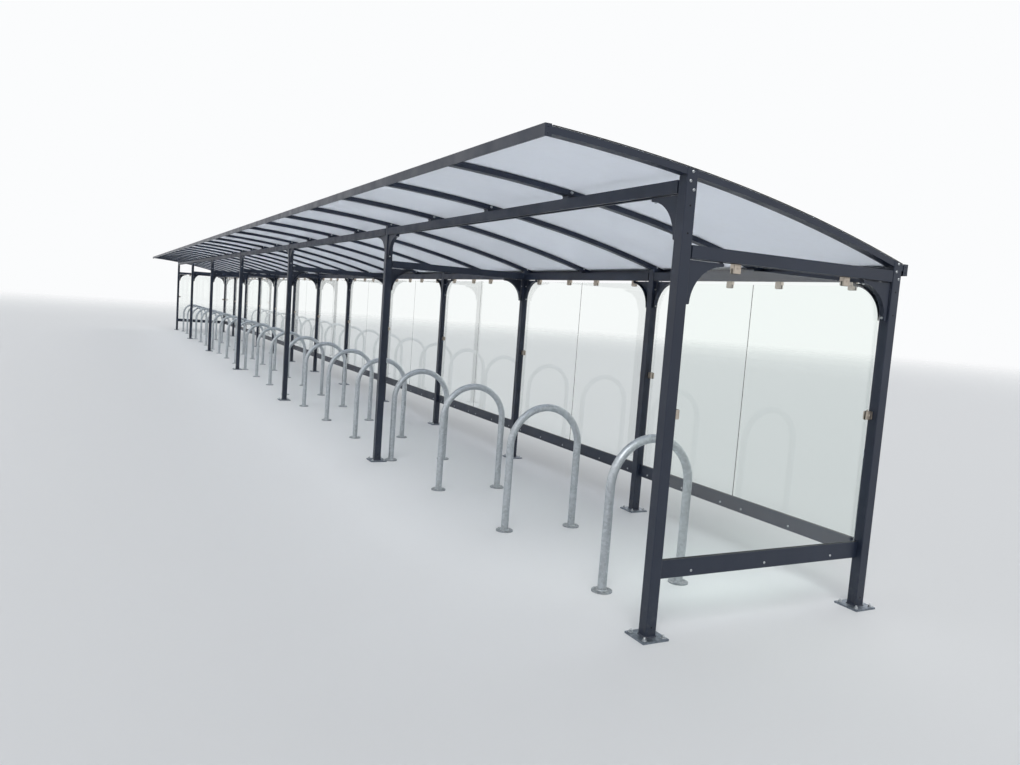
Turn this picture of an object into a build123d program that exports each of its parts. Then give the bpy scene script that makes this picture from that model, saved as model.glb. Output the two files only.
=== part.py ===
import math
import os

from build123d import *

os.makedirs("parts", exist_ok=True)

# Plan of the shelter: X runs along it, the open high side faces -Y, Z is up from the ground
bay_count = 6
bay_length = 4200.0
arches_per_bay = 4
rear_posts_per_bay = 2
frame_depth = 1433.0
front_overhang = 775.0
rear_overhang = 75.0

# Square tube of the posts and plates under them
post_size = 60.0
post_wall = 3.0
post_corner = 4.0
base_plate_size = 150.0
base_plate_thickness = 10.0
anchor_spacing = 110.0
anchor_hole_radius = 7.0

# Folded channel of the beams, open underneath, and the gap that its ends keep to the posts
beam_size = 60.0
beam_wall = 3.0
beam_lip = 15.0
beam_gap = 6.0
beam_end_plate = 4.0
beam_neck = 38.0
front_beam_top = 2150.0
rear_beam_top = 1860.0

# Roof curve through three points on top of the arches
eave_height = 2264.0
front_arch_height = 2196.0
rear_arch_height = 1905.0
arch_height = 30.0
arch_wall = 2.5
sheet_thickness = 4.0
sheet_gap = 10.0
sheet_end_clearance = 4.0
strip_width = 50.0
strip_thickness = 3.0
strip_setback = 40.0
seat_clearance = 0.3

# Folded edge profiles along the eave and the rear edge
edge_depth = 32.0
edge_wall = 3.0
edge_drip = 10.0
edge_joint = 2.0
end_cap_thickness = 3.0

# Saddle brackets that carry the arches between posts
saddle_length = 50.0
saddle_wall = 4.0
saddle_upstand = 28.0

# Curved corner brackets
bracket_leg = 210.0
bracket_tip = 23.0
bracket_tip_radius = 8.0
bracket_wall = 3.0
bracket_depth = 30.0
bracket_inset = 11.0
bracket_gap = 7.0
bracket_gap_depth = 8.0
bracket_glass_clearance = 1.0

# Glass walls, the rails that hold them and the clamps
glass_thickness = 8.0
glass_inset = 46.0
glass_top = 1778.0
pane_joint = 6.0
pane_post_gap = 20.0
panes_per_length = 2
rail_bottom = 280.0
rail_height = 90.0
rail_width = 26.0
rail_wall = 3.0
gasket_height = 12.0
clamp_size = 45.0
clamp_thickness = 28.0
clamp_corner = 3.0
pane_clamp_share = 0.22
side_clamp_height = 1074.0

# Round bent hoops for the bicycles and the flanges they stand on
hoop_count = 21
hoops_per_group = 3
hoop_end_margin = 600.0
hoop_setback = 140.0
hoop_tube_radius = 25.0
hoop_bend_radius = 265.0
hoop_height = 875.0
flange_radius = 58.0
flange_thickness = 8.0

# Places worked out from the sizes above
total_length = bay_count * bay_length
half_length = total_length / 2
front_post_y = front_overhang - (front_overhang + frame_depth + rear_overhang) / 2
rear_post_y = front_post_y + frame_depth
front_edge_y = front_post_y - front_overhang
rear_edge_y = rear_post_y + rear_overhang
arch_width = post_size - 2 * post_wall
arch_pitch = bay_length / arches_per_bay
arch_count = bay_count * arches_per_bay + 1
rear_pitch = bay_length / rear_posts_per_bay
rear_length_count = bay_count * rear_posts_per_bay
half_post = post_size / 2
front_clear_length = bay_length - post_size
rear_clear_length = rear_pitch - post_size
cross_clear_length = frame_depth - post_size
cross_middle_y = (front_post_y + rear_post_y) / 2
rear_glass_y = rear_post_y - half_post + glass_inset
gable_glass_x = half_length + half_post - glass_inset

frame_xs = [i * bay_length - half_length for i in range(bay_count + 1)]
mid_xs = [(i + 0.5) * bay_length - half_length for i in range(bay_count)]
rear_xs = [i * rear_pitch - half_length for i in range(rear_length_count + 1)]
rear_middles = [(i + 0.5) * rear_pitch - half_length for i in range(rear_length_count)]
arch_xs = [i * arch_pitch - half_length for i in range(arch_count)]


# Roof curve: centre and radius of the circle through the three arch heights
def roof_circle():
    ya, za = front_edge_y, eave_height
    yb, zb = front_post_y, front_arch_height
    yc, zc = rear_post_y, rear_arch_height
    a = ya**2 + za**2
    b = yb**2 + zb**2
    c = yc**2 + zc**2
    d = 2 * (ya * (zb - zc) + yb * (zc - za) + yc * (za - zb))
    centre_y = (a * (zb - zc) + b * (zc - za) + c * (za - zb)) / d
    centre_z = (a * (yc - yb) + b * (ya - yc) + c * (yb - ya)) / d
    radius = math.hypot(ya - centre_y, za - centre_z)
    return centre_y, centre_z, radius


roof_y, roof_z, roof_radius = roof_circle()


def roof_level(y, rise):
    """Height of the roof curve at y, moved out by rise from the top of the arches."""
    return roof_z + math.sqrt((roof_radius + rise) ** 2 - (y - roof_y) ** 2)


# Outline between two curves that follow the roof, drawn in the section across the shelter
def roof_band(low_rise, high_rise, y_front, y_rear):
    y_mid = (y_front + y_rear) / 2
    with BuildLine(mode=Mode.PRIVATE) as outline:
        ThreePointArc(
            (y_front, roof_level(y_front, low_rise)),
            (y_mid, roof_level(y_mid, low_rise)),
            (y_rear, roof_level(y_rear, low_rise)),
        )
        Line((y_rear, roof_level(y_rear, low_rise)), (y_rear, roof_level(y_rear, high_rise)))
        ThreePointArc(
            (y_rear, roof_level(y_rear, high_rise)),
            (y_mid, roof_level(y_mid, high_rise)),
            (y_front, roof_level(y_front, high_rise)),
        )
        Line((y_front, roof_level(y_front, high_rise)), (y_front, roof_level(y_front, low_rise)))
    return outline.edges()


def finish(builder, label):
    builder.part.label = label
    export_step(builder.part, f"parts/{label}.step")


# Copies of one piece, each at its own location
def place_copies(label, piece, places):
    with BuildPart() as copies:
        with Locations(*places):
            add(piece)
    finish(copies, label)


def along_x(xs, y=0.0):
    return [(x, y, 0) for x in xs]


# Posts: square tubes cut to the roof, their side walls standing up beside the arch
def make_posts(label, xs, y):
    section = post_size - 2 * post_wall
    above = roof_level(y, 0) + post_size
    with BuildPart() as post:
        with BuildSketch(Plane.XY.offset(base_plate_thickness)):
            with Locations((0, y)):
                RectangleRounded(post_size, post_size, post_corner)
                Rectangle(section, section, mode=Mode.SUBTRACT)
        extrude(amount=above - base_plate_thickness)
        with BuildSketch(Plane.YZ.offset(-post_size)):
            make_face(roof_band(0, 2 * post_size, y - post_size, y + post_size))
        extrude(amount=2 * post_size, mode=Mode.SUBTRACT)
        with BuildSketch(Plane.YZ.offset(-arch_width / 2)):
            make_face(roof_band(-arch_height, post_size, y - post_size, y + post_size))
        extrude(amount=arch_width, mode=Mode.SUBTRACT)
    place_copies(label, post.part, along_x(xs))


make_posts("front_posts", frame_xs, front_post_y)
make_posts("rear_posts", rear_xs, rear_post_y)


# Base plates with four anchor holes each
post_places = [(x, front_post_y) for x in frame_xs] + [(x, rear_post_y) for x in rear_xs]

with BuildPart() as base_plates:
    with BuildSketch():
        with Locations(*post_places):
            Rectangle(base_plate_size, base_plate_size)
            with GridLocations(anchor_spacing, anchor_spacing, 2, 2):
                Circle(anchor_hole_radius, mode=Mode.SUBTRACT)
    extrude(amount=base_plate_thickness)
finish(base_plates, "base_plates")


# Beams: folded channels open underneath, closed by end plates on short necks to the posts
def make_beam(clear_length, top):
    channel = clear_length - 2 * beam_gap
    inside = beam_size - 2 * beam_wall
    slot = beam_size - 2 * beam_lip
    middle = top - beam_size / 2
    with BuildPart() as beam:
        with BuildSketch(Plane.YZ.offset(-channel / 2)):
            with Locations((0, middle)):
                Rectangle(beam_size, beam_size)
                Rectangle(inside, inside, mode=Mode.SUBTRACT)
            with Locations((0, top - beam_size + beam_wall / 2)):
                Rectangle(slot, beam_wall, mode=Mode.SUBTRACT)
        extrude(amount=channel)
        for side in (-1, 1):
            with BuildSketch(Plane.YZ.offset(side * channel / 2)):
                with Locations((0, middle)):
                    Rectangle(inside, inside)
            extrude(amount=-side * beam_end_plate)
            with BuildSketch(Plane.YZ.offset(side * channel / 2)):
                with Locations((0, middle)):
                    Rectangle(beam_neck, beam_neck)
            extrude(amount=side * beam_gap)
    return beam.part


front_beam_part = make_beam(front_clear_length, front_beam_top)
rear_beam_part = make_beam(rear_clear_length, rear_beam_top)
cross_beam_part = make_beam(cross_clear_length, rear_beam_top)
cross_beam_places = [Location((x, cross_middle_y, 0), (0, 0, 90)) for x in frame_xs]
place_copies("front_beam", front_beam_part, along_x(mid_xs, front_post_y))
place_copies("rear_beam", rear_beam_part, along_x(rear_middles, rear_post_y))
place_copies("cross_beams", cross_beam_part, cross_beam_places)


# Corner brackets: a cheek clear of post and beam, a concave flange, plates on post and beam
def bracket_face(corner, along, wall):
    across, top = corner
    radius = bracket_leg - bracket_tip + wall
    bend = radius * math.sqrt(0.5)
    reach = math.sqrt(radius**2 - wall**2)
    centre_x = across + along * bracket_leg
    centre_z = top - bracket_leg
    near_x = across + along * wall
    far_x = centre_x - along * wall
    foot_z = centre_z + wall
    with BuildSketch() as face:
        with BuildLine():
            Line((near_x, top - wall), (far_x, top - wall))
            Line((far_x, top - wall), (far_x, centre_z + reach))
            ThreePointArc(
                (far_x, centre_z + reach),
                (centre_x - along * bend, centre_z + bend),
                (centre_x - along * reach, foot_z),
            )
            Line((centre_x - along * reach, foot_z), (near_x, foot_z))
            Line((near_x, foot_z), (near_x, top - wall))
        make_face()
        tips = face.vertices().sort_by_distance((near_x, top - wall))[-2:]
        fillet(tips, bracket_tip_radius - wall)
    return face.sketch_local


# The open gap between a bracket's cheek and the post and beam beside it
def bracket_gap_face(corner, along):
    across, top = corner
    tip_x = across + along * bracket_leg
    foot_z = top - bracket_leg
    gap_x = across + along * bracket_gap
    gap_z = top - bracket_gap
    with BuildSketch() as face:
        with BuildLine():
            Polyline(
                (across, top),
                (tip_x, top),
                (tip_x, gap_z),
                (gap_x, gap_z),
                (gap_x, foot_z),
                (across, foot_z),
                close=True,
            )
        make_face()
    return face.sketch_local


def bracket_faces(corners):
    outlines = [bracket_face(corner, along, 0) for corner, along in corners]
    hollows = [bracket_face(corner, along, bracket_wall) for corner, along in corners]
    gaps = [bracket_gap_face(corner, along) for corner, along in corners]
    return outlines, hollows, gaps


# Brackets along the front or the rear, their cheeks on the outer side
def make_long_brackets(label, corners, cheek_y, side):
    outlines, hollows, gaps = bracket_faces(corners)
    with BuildPart() as brackets:
        with BuildSketch(Plane.XZ.offset(-cheek_y)):
            add(outlines)
        extrude(amount=side * bracket_depth)
        with BuildSketch(Plane.XZ.offset(side * bracket_wall - cheek_y)):
            add(hollows)
        extrude(amount=side * bracket_depth, mode=Mode.SUBTRACT)
        with BuildSketch(Plane.XZ.offset(-cheek_y)):
            add(gaps)
        extrude(amount=side * bracket_gap_depth, mode=Mode.SUBTRACT)
    finish(brackets, label)


def beam_corners(xs, top):
    corners = []
    for x in xs:
        if x > xs[0]:
            corners.append(((x - half_post, top - beam_size), -1))
        if x < xs[-1]:
            corners.append(((x + half_post, top - beam_size), 1))
    return corners


front_corners = beam_corners(frame_xs, front_beam_top)
rear_corners = beam_corners(rear_xs, rear_beam_top)
front_cheek_y = front_post_y - half_post + bracket_inset
rear_cheek_y = rear_glass_y - glass_thickness / 2 - bracket_glass_clearance
make_long_brackets("front_beam_brackets", front_corners, front_cheek_y, -1)
make_long_brackets("rear_beam_brackets", rear_corners, rear_cheek_y, 1)

# Brackets under the cross beams: the cheek faces out of the gable at +X, and -X elsewhere
cross_bottom = rear_beam_top - beam_size
cross_corners = [
    ((front_post_y + half_post, cross_bottom), 1),
    ((rear_post_y - half_post, cross_bottom), -1),
]
cross_outlines, cross_hollows, cross_gaps = bracket_faces(cross_corners)

with BuildPart() as cross_brackets:
    for x in frame_xs:
        side = 1 if x == frame_xs[-1] else -1
        cheek_x = x + side * (half_post - bracket_inset)
        with BuildSketch(Plane.YZ.offset(cheek_x)):
            add(cross_outlines)
        extrude(amount=-side * bracket_depth)
        with BuildSketch(Plane.YZ.offset(cheek_x - side * bracket_wall)):
            add(cross_hollows)
        extrude(amount=-side * bracket_depth, mode=Mode.SUBTRACT)
        with BuildSketch(Plane.YZ.offset(cheek_x)):
            add(cross_gaps)
        extrude(amount=-side * bracket_gap_depth, mode=Mode.SUBTRACT)
finish(cross_brackets, "cross_beam_brackets")


# Roof arches: curved tubes that run from the eave profile to the rear edge profile
arch_front_y = front_edge_y + edge_wall + seat_clearance
arch_rear_y = rear_edge_y - edge_wall - seat_clearance


hollow_front_y = arch_front_y - post_size
hollow_rear_y = arch_rear_y + post_size

with BuildPart() as arch:
    with BuildSketch(Plane.YZ.offset(-arch_width / 2)):
        make_face(roof_band(-arch_height, 0, arch_front_y, arch_rear_y))
    extrude(amount=arch_width)
    with BuildSketch(Plane.YZ.offset(arch_wall - arch_width / 2)):
        make_face(roof_band(arch_wall - arch_height, -arch_wall, hollow_front_y, hollow_rear_y))
    extrude(amount=arch_width - 2 * arch_wall, mode=Mode.SUBTRACT)

plain_arch_xs = [x for i, x in enumerate(arch_xs) if i % arches_per_bay]
place_copies("frame_arches", arch.part, along_x(frame_xs))
place_copies("middle_arches", arch.part, along_x(plain_arch_xs))


# Saddle brackets: a seat between beam and arch with an upstand against the arch's side
def make_saddle(y, top):
    low_x = -arch_width / 2
    near_y = y - post_size
    far_y = y + post_size
    with BuildPart() as saddle:
        with BuildSketch(Plane.YZ.offset(low_x)):
            with Locations((y, top + beam_size / 2)):
                Rectangle(saddle_length, beam_size)
        extrude(amount=arch_width + saddle_wall)
        with BuildSketch(Plane.YZ.offset(low_x - saddle_wall)):
            make_face(roof_band(-arch_height - seat_clearance, post_size, near_y, far_y))
        extrude(amount=arch_width + saddle_wall, mode=Mode.SUBTRACT)
        with BuildSketch(Plane.YZ.offset(low_x)):
            make_face(roof_band(saddle_upstand - arch_height, 2 * post_size, near_y, far_y))
        extrude(amount=arch_width + 2 * saddle_wall, mode=Mode.SUBTRACT)
    return saddle.part


arches_per_rear_post = arches_per_bay // rear_posts_per_bay
rear_saddle_xs = [x for i, x in enumerate(arch_xs) if i % arches_per_rear_post]
front_saddle = make_saddle(front_post_y, front_beam_top)
rear_saddle = make_saddle(rear_post_y, rear_beam_top)

with BuildPart() as saddles:
    with Locations(*along_x(plain_arch_xs)):
        add(front_saddle)
    with Locations(*along_x(rear_saddle_xs)):
        add(rear_saddle)
finish(saddles, "arch_saddles")

# Roof sheets: one curved sheet between neighbouring arches, the end ones out to the gable
sheet_front_y = front_edge_y + edge_wall + sheet_end_clearance
sheet_rear_y = rear_edge_y - edge_wall - sheet_end_clearance
roof_end_x = half_length + arch_width / 2
sheet_bottom_rise = seat_clearance
sheet_top_rise = seat_clearance + sheet_thickness

for bay in range(bay_count):
    with BuildPart() as sheets:
        for k in range(arches_per_bay):
            i = bay * arches_per_bay + k
            start_x = -roof_end_x if i == 0 else arch_xs[i] + sheet_gap / 2
            end_x = roof_end_x if i == arch_count - 2 else arch_xs[i + 1] - sheet_gap / 2
            with BuildSketch(Plane.YZ.offset(start_x)):
                make_face(roof_band(sheet_bottom_rise, sheet_top_rise, sheet_front_y, sheet_rear_y))
            extrude(amount=end_x - start_x)
    finish(sheets, f"roof_sheets_bay_{bay + 1}")

# Cover strips that clamp the sheets to every arch
strip_bottom_rise = sheet_top_rise + seat_clearance
strip_top_rise = strip_bottom_rise + strip_thickness
strip_front_y = front_edge_y + strip_setback
strip_rear_y = rear_edge_y - strip_setback

with BuildPart() as strip:
    with BuildSketch(Plane.YZ.offset(-strip_width / 2)):
        make_face(roof_band(strip_bottom_rise, strip_top_rise, strip_front_y, strip_rear_y))
    extrude(amount=strip_width)
place_copies("cover_strips", strip.part, along_x(arch_xs))


# Edge profiles: folded channels that close the ends of arches and sheets, with a drip edge
def make_edge_profile(label, outer_y, inward):
    inner_y = outer_y + inward * edge_depth
    wall_y = outer_y + inward * edge_wall
    lip_low = min(roof_level(y, -arch_height) for y in (outer_y, inner_y)) - seat_clearance
    lip_high = max(roof_level(y, sheet_top_rise) for y in (outer_y, inner_y)) + seat_clearance
    low = lip_low - edge_wall
    high = lip_high + edge_wall
    with BuildPart() as profile:
        for middle in mid_xs:
            first = middle == mid_xs[0]
            last = middle == mid_xs[-1]
            start_x = -roof_end_x if first else middle - (bay_length - edge_joint) / 2
            end_x = roof_end_x if last else middle + (bay_length - edge_joint) / 2
            with BuildSketch(Plane.YZ.offset(start_x)):
                with BuildLine():
                    Polyline(
                        (outer_y, low - edge_drip),
                        (outer_y, high),
                        (inner_y, high),
                        (inner_y, lip_high),
                        (wall_y, lip_high),
                        (wall_y, lip_low),
                        (inner_y, lip_low),
                        (inner_y, low),
                        (wall_y, low),
                        (wall_y, low - edge_drip),
                        close=True,
                    )
                make_face()
            extrude(amount=end_x - start_x)
    finish(profile, label)
    return low - edge_drip, high


front_edge_low, front_edge_high = make_edge_profile("eave_profile", front_edge_y, 1)
rear_edge_low, rear_edge_high = make_edge_profile("rear_edge_profile", rear_edge_y, -1)

# End caps of both edge profiles
with BuildPart() as end_caps:
    for side in (-1, 1):
        with BuildSketch(Plane.YZ.offset(side * roof_end_x)):
            for outer_y, inward, low, high in (
                (front_edge_y, 1, front_edge_low, front_edge_high),
                (rear_edge_y, -1, rear_edge_low, rear_edge_high),
            ):
                with Locations((outer_y + inward * edge_depth / 2, (low + high) / 2)):
                    Rectangle(edge_depth, high - low)
        extrude(amount=side * end_cap_thickness)
finish(end_caps, "edge_end_caps")


# Glass rails: channels open upwards that carry the panes' lower edges
def rail_section(across):
    middle = rail_bottom + rail_height / 2
    with Locations((across, middle)):
        Rectangle(rail_width, rail_height)
    with Locations((across, middle + rail_wall / 2)):
        Rectangle(rail_width - 2 * rail_wall, rail_height - rail_wall, mode=Mode.SUBTRACT)


def gasket_section(across):
    side = (rail_width - 2 * rail_wall - glass_thickness) / 2
    offset = (glass_thickness + side) / 2
    height = rail_bottom + rail_height - gasket_height / 2
    with Locations((across - offset, height), (across + offset, height)):
        Rectangle(side, gasket_height)


rail_start_plane = Plane.XZ.offset(-front_post_y - half_post)

with BuildPart() as rear_rails:
    for middle in rear_middles:
        with BuildSketch(Plane.YZ.offset(middle - rear_clear_length / 2)):
            rail_section(rear_glass_y)
        extrude(amount=rear_clear_length)
finish(rear_rails, "rear_glass_rails")

with BuildPart() as gable_rails:
    with BuildSketch(rail_start_plane):
        rail_section(-gable_glass_x)
        rail_section(gable_glass_x)
    extrude(amount=-cross_clear_length)
finish(gable_rails, "gable_glass_rails")

with BuildPart() as gaskets:
    for middle in rear_middles:
        with BuildSketch(Plane.YZ.offset(middle - rear_clear_length / 2)):
            gasket_section(rear_glass_y)
        extrude(amount=rear_clear_length)
    with BuildSketch(rail_start_plane):
        gasket_section(-gable_glass_x)
        gasket_section(gable_glass_x)
    extrude(amount=-cross_clear_length)
finish(gaskets, "glass_gaskets")

# Glass panes: two in each length between rear posts, one in each gable
glass_bottom = rail_bottom + rail_wall
glass_height = glass_top - glass_bottom
pane_width = (rear_clear_length - 2 * pane_post_gap - pane_joint) / panes_per_length
pane_pitch = pane_width + pane_joint
pane_offsets = [(k - (panes_per_length - 1) / 2) * pane_pitch for k in range(panes_per_length)]
rear_pane_xs = [middle + offset for middle in rear_middles for offset in pane_offsets]
gable_pane_width = cross_clear_length - 2 * pane_post_gap
panes_per_bay = panes_per_length * rear_posts_per_bay

for bay in range(bay_count):
    bay_pane_xs = rear_pane_xs[bay * panes_per_bay:(bay + 1) * panes_per_bay]
    with BuildPart() as panes:
        with BuildSketch(Plane.XY.offset(glass_bottom)):
            with Locations(*[(x, rear_glass_y) for x in bay_pane_xs]):
                Rectangle(pane_width, glass_thickness)
        extrude(amount=glass_height)
    finish(panes, f"rear_glass_bay_{bay + 1}")

with BuildPart() as gable_glass:
    with BuildSketch(Plane.XY.offset(glass_bottom)):
        with Locations((-gable_glass_x, cross_middle_y), (gable_glass_x, cross_middle_y)):
            Rectangle(glass_thickness, gable_pane_width)
    extrude(amount=glass_height)
finish(gable_glass, "gable_glass")


# Glass clamps: square blocks slotted over the edge of a pane, at tops and sides
def make_clamps(label, places, body, slot):
    slot_places = [tuple(a + b for a, b in zip(place, shift)) for place, shift in places]
    with BuildPart() as clamps:
        with Locations(*[place for place, shift in places]):
            Box(*body)
        fillet(clamps.edges().filter_by(Axis.Z), clamp_corner)
        with Locations(*slot_places):
            Box(*slot, mode=Mode.SUBTRACT)
    finish(clamps, label)


top_clamp_z = cross_bottom - clamp_size / 2
top_slot_height = glass_top - cross_bottom + clamp_size
top_slot_shift = (top_slot_height - clamp_size) / 2
side_slot_depth = clamp_size - pane_post_gap
rear_clamp = (clamp_size, clamp_thickness, clamp_size)
gable_clamp = (clamp_thickness, clamp_size, clamp_size)
rear_top_slot = (clamp_size, glass_thickness, top_slot_height)
rear_side_slot = (side_slot_depth, glass_thickness, clamp_size)
gable_top_slot = (glass_thickness, clamp_size, top_slot_height)
gable_side_slot = (glass_thickness, side_slot_depth, clamp_size)
clamp_share = 0.5 - pane_clamp_share

rear_top_places = []
for x in rear_pane_xs:
    for way in (-1, 1):
        clamp_x = x + way * clamp_share * pane_width
        rear_top_places.append(((clamp_x, rear_glass_y, top_clamp_z), (0, 0, top_slot_shift)))

rear_side_places = []
for middle in rear_middles:
    for way in (-1, 1):
        clamp_x = middle + way * (rear_clear_length - clamp_size) / 2
        shift = (-way * pane_post_gap / 2, 0, 0)
        rear_side_places.append(((clamp_x, rear_glass_y, side_clamp_height), shift))

gable_top_places = []
gable_side_places = []
for side in (-1, 1):
    for way in (-1, 1):
        clamp_y = cross_middle_y + way * clamp_share * gable_pane_width
        gable_top_places.append(((side * gable_glass_x, clamp_y, top_clamp_z), (0, 0, top_slot_shift)))
        clamp_y = cross_middle_y + way * (cross_clear_length - clamp_size) / 2
        shift = (0, -way * pane_post_gap / 2, 0)
        gable_side_places.append(((side * gable_glass_x, clamp_y, side_clamp_height), shift))

make_clamps("rear_top_clamps", rear_top_places, rear_clamp, rear_top_slot)
make_clamps("rear_side_clamps", rear_side_places, rear_clamp, rear_side_slot)
make_clamps("gable_top_clamps", gable_top_places, gable_clamp, gable_top_slot)
make_clamps("gable_side_clamps", gable_side_places, gable_clamp, gable_side_slot)

# Bicycle hoops: bent round tubes in groups of three, each standing on two round flanges
hoop_pitch = (total_length - 2 * hoop_end_margin) / (hoop_count - 1)
hoop_xs = [i * hoop_pitch + hoop_end_margin - half_length for i in range(hoop_count)]
hoop_y = front_post_y + hoop_setback + hoop_bend_radius
hoop_spring = hoop_height - hoop_tube_radius - hoop_bend_radius

leg_front_y = hoop_y - hoop_bend_radius
leg_rear_y = hoop_y + hoop_bend_radius

for group in range(hoop_count // hoops_per_group):
    with BuildPart() as hoops:
        for x in hoop_xs[group * hoops_per_group:(group + 1) * hoops_per_group]:
            with BuildLine():
                Line((x, leg_front_y, flange_thickness), (x, leg_front_y, hoop_spring))
                ThreePointArc(
                    (x, leg_front_y, hoop_spring),
                    (x, hoop_y, hoop_spring + hoop_bend_radius),
                    (x, leg_rear_y, hoop_spring),
                )
                Line((x, leg_rear_y, hoop_spring), (x, leg_rear_y, flange_thickness))
            with BuildSketch(Plane.XY.offset(flange_thickness)):
                with Locations((x, leg_front_y)):
                    Circle(hoop_tube_radius)
            sweep()
    finish(hoops, f"bike_hoops_{group + 1}")

with BuildPart() as hoop_flanges:
    with BuildSketch():
        with Locations(*[(x, y) for x in hoop_xs for y in (leg_front_y, leg_rear_y)]):
            Circle(flange_radius)
    extrude(amount=flange_thickness)
finish(hoop_flanges, "hoop_flanges")
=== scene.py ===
import logging
import math
import random
from collections.abc import Sequence
from dataclasses import dataclass, field, replace
from enum import Enum, IntEnum

import bpy
from mathutils import Matrix, Vector
from mathutils.bvhtree import BVHTree


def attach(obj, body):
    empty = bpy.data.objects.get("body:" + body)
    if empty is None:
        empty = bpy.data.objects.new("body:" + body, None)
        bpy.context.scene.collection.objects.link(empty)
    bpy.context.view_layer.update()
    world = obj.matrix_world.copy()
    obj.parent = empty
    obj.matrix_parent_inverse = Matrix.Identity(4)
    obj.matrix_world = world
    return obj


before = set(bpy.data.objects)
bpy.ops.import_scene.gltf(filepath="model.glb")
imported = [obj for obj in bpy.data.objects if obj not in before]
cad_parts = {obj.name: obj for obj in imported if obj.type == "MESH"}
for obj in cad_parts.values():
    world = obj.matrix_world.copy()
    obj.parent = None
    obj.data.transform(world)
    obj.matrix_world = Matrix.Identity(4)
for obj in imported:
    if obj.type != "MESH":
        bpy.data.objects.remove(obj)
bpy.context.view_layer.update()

log = logging.getLogger("bike_shelter")

Tree = bpy.types.NodeTree
Socket = bpy.types.NodeSocket
Inputs = dict[str | int, object]
Layers = list[tuple[Socket, str]]
Pairs = tuple[tuple[float, float], ...]

MM = 0.001
PHOTO_WIDTH = 1020
UP = Vector((0.0, 0.0, 1.0))
DOWN = -UP
HERE = Matrix.Identity(4)
# How far outside a surface the search for it starts.
SEARCH = 100 * MM


class Seed(IntEnum):
    """Starts of the random draws."""

    NUTS = 7
    BOLTS = 11
    WELDS = 3


# Colour and shader nodes


def linear(colour: str) -> tuple[float, float, float, float]:
    """Turn an sRGB hex colour into the linear values that shaders take.

    Args:
        colour: sRGB colour written as #rrggbb.

    Returns:
        Linear red, green and blue, with an alpha of 1.
    """
    values = [int(colour[i:i + 2], 16) / 255 for i in (1, 3, 5)]
    curve = [v / 12.92 if v <= 0.04045 else ((v + 0.055) / 1.055) ** 2.4 for v in values]
    return (*curve, 1.0)


def feed(tree: Tree, node: bpy.types.Node, inputs: Inputs) -> None:
    """Fill inputs of a node.

    Args:
        tree: Node tree that holds it.
        node: The node.
        inputs: Values by the input's name or number: a socket is linked, an sRGB hex colour is made
            linear, and any other value is set as it is.
    """
    for name, value in inputs.items():
        if isinstance(value, Socket):
            tree.links.new(value, node.inputs[name])
        else:
            node.inputs[name].default_value = linear(value) if isinstance(value, str) else value


def add_node(tree: Tree, kind: str, inputs: Inputs, **settings: object) -> bpy.types.Node:
    """Add one shader node with its settings and links.

    Args:
        tree: Node tree of a material or of the world.
        kind: Blender's type name of the node.
        inputs: What goes into it, as feed takes it.
        **settings: Properties of the node.

    Returns:
        The node.
    """
    node = tree.nodes.new(kind)
    for name, value in settings.items():
        setattr(node, name, value)
    feed(tree, node, inputs)
    return node


# Span that most values of the noise lie in.
NOISE_LOW, NOISE_HIGH = 0.3, 0.7


class MixSocket(IntEnum):
    """Numbers of the sockets of a node that mixes two colours into a result."""

    FACTOR = 0
    FIRST = 6
    SECOND = 7
    RESULT = 2


# Finishes


class Spot(Enum):
    """Where on the object a tone gathers."""

    EVERYWHERE = "everywhere"
    NEAR_FOOT = "near the foot"
    ON_TOPS = "on faces that look up"


@dataclass(frozen=True)
class Tone:
    """Patches of a second colour, size_mm apart, of which at most the share shows.

    They begin where the noise is at low and are full where it is at high. A stretch under 1 draws the
    pattern out along that axis.
    """

    colour: str
    size_mm: float
    share: float
    spot: Spot = Spot.EVERYWHERE
    stretch: tuple[float, float, float] = (1.0, 1.0, 1.0)
    low: float = 0.36
    high: float = 0.68
    detail: float = 4.0


@dataclass(frozen=True)
class Grain:
    """Bumps size_mm apart and depth_mm high, of which the share named strength shows."""

    size_mm: float
    depth_mm: float
    strength: float
    stretch: tuple[float, float, float] = (1.0, 1.0, 1.0)


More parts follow.
